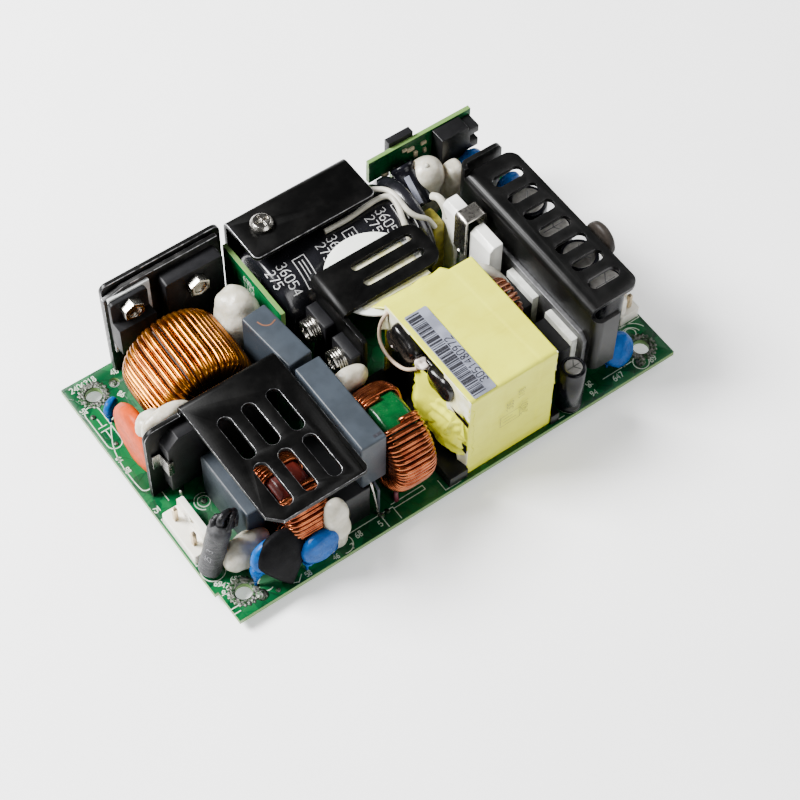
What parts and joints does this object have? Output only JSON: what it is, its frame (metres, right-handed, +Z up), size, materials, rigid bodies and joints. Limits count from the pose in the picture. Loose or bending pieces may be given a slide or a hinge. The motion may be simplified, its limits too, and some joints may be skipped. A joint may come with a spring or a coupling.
{
  "type": "open-frame power supply",
  "caption": "Open-frame power supply: a green circuit board with black slotted heatsinks, a lying capacitor, wound chokes, a taped transformer and pin headers.",
  "frame": {"origin": "centre of the four mounting holes, on the circuit board's underside", "axes": "+X along the board's long side, from the mains header to the output header; +Y along its short side, to the rear; +Z up, towards the parts"},
  "size_m": [0.1272, 0.0762, 0.0353],
  "materials": {
    "board_green": "gloss solder mask",
    "solder": "bright solder",
    "black_sheet": "black anodised",
    "grey_pad": "matte",
    "black_package": "moulded",
    "bright_screw": "bright nickel",
    "capacitor_sleeve": "shrunk sleeve",
    "powder_core": "matte",
    "gold_wire": "enamelled wire",
    "copper_wire": "enamelled wire",
    "green_core": "painted core",
    "red_core": "painted core",
    "blue_grey_case": "moulded box",
    "black_case": "moulded",
    "white_film": "film",
    "ferrite": "matte",
    "yellow_tape": "polyester tape",
    "label_paper": "matte",
    "grey_bar": "satin",
    "white_insulator": "matte",
    "white_boot": "moulded",
    "spring_steel": "satin",
    "dark_sleeve": "shrunk sleeve",
    "cream_nylon": "moulded",
    "tinned_pin": "tinned",
    "grey_tube": "shrunk sleeve",
    "orange_coat": "dipped",
    "grey_coat": "dipped",
    "blue_coat": "dipped",
    "brown_coat": "dipped",
    "white_silicone": "set bead"
  },
  "bodies": {
    "root": {"main_board": "board_green", "solder_joints": "solder", "rear_heatsink": "black_sheet", "rear_device_plate": "black_sheet", "insulating_pad": "grey_pad", "rear_device_left": "black_package", "rear_device_right": "black_package", "rear_screws": "bright_screw", "capacitor_cover": "black_sheet", "cover_screw": "bright_screw", "cover_nut": "bright_screw", "bulk_capacitor": "capacitor_sleeve", "boost_choke_core": "powder_core", "boost_choke_winding": "gold_wire", "filter_choke_core": "green_core", "filter_choke_windings": "copper_wire", "input_choke_core": "red_core", "input_choke_windings": "copper_wire", "bridge_heatsink": "black_sheet", "bridge_rectifier": "black_package", "rectifier_clip": "spring_steel", "film_capacitor_front": "blue_grey_case", "film_capacitor_upper": "blue_grey_case", "film_capacitor_rear": "blue_grey_case", "relay": "black_case", "middle_heatsink": "black_sheet", "middle_devices": "black_package", "middle_screws": "bright_screw", "middle_washers": "bright_screw", "insulating_disc": "white_film", "transformer_core": "ferrite", "transformer_bobbin": "black_case", "transformer_winding": "copper_wire", "transformer_tape": "yellow_tape", "transformer_label": "label_paper", "output_heatsink": "black_sheet", "output_spreader": "grey_bar", "output_insulators": "white_insulator", "output_rectifiers": "black_package", "transistor_boots": "white_boot", "output_clip": "spring_steel", "output_capacitors": "dark_sleeve", "small_capacitor": "dark_sleeve", "output_choke": "copper_wire", "control_board": "board_green", "control_chip": "black_package", "standby_board": "board_green", "standby_chip": "black_package", "standby_capacitor": "dark_sleeve", "standby_socket": "black_case", "input_connector": "cream_nylon", "output_connector": "cream_nylon", "connector_pins": "tinned_pin", "fuse": "grey_tube", "orange_varistor": "orange_coat", "grey_varistor": "grey_coat", "safety_capacitors": "blue_coat", "disc_thermistor": "brown_coat", "silicone_beads": "white_silicone"}
  },
  "joints": []
}
